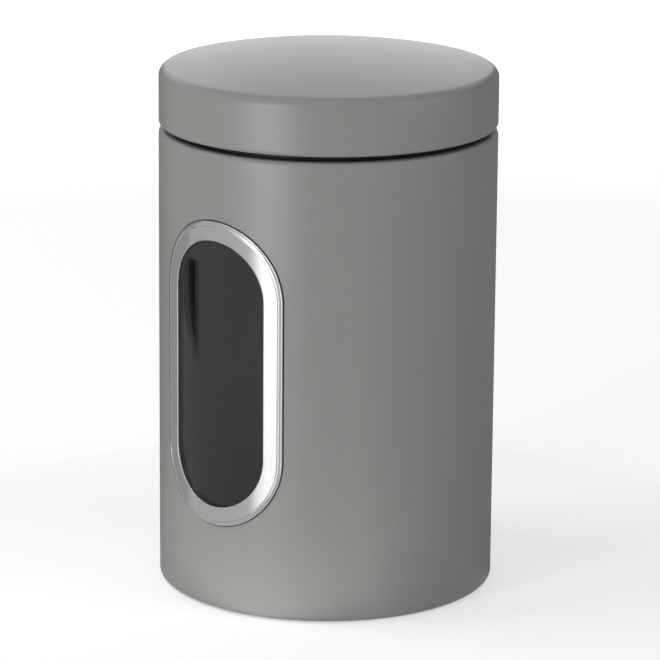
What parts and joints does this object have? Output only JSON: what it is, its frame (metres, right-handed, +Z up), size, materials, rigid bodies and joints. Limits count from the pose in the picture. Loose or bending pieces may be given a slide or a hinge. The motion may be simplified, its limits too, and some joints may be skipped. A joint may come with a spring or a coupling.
{
  "type": "airtight food container",
  "caption": "Round painted steel storage canister with a capsule-shaped clear window in a stainless frame and a domed lift-off lid with a sealed plug.",
  "frame": {"origin": "on the canister's axis, at the floor under the foot ring", "axes": "+Z up along the canister's axis, -Y out through the middle of the window, +X to the right of someone facing the window"},
  "size_m": [0.118, 0.1191, 0.19],
  "materials": {
    "grey_coat": "warm grey satin powder coat",
    "stainless": "bright satin stainless steel",
    "bare_steel": "plain rolled steel",
    "clear_plastic": "clear polished plastic",
    "black_plastic": "black satin moulding",
    "silicone": "smoke-grey translucent silicone",
    "foot_rubber": "matt black rubber"
  },
  "bodies": {
    "canister": {"body_shell": "grey_coat", "base_pan": "bare_steel", "foot_ring": "foot_rubber", "mouth_ring": "black_plastic", "window_frame": "stainless", "window_seal": "silicone", "window_pane": "clear_plastic"},
    "lid": {"lid_shell": "grey_coat", "lid_insert": "black_plastic", "lid_seal": "silicone"}
  },
  "joints": [
    {"name": "lid_lift", "type": "slide", "parent": "canister", "child": "lid", "axis": [0, 0, 1], "range_m": [0, 0.12]}
  ]
}
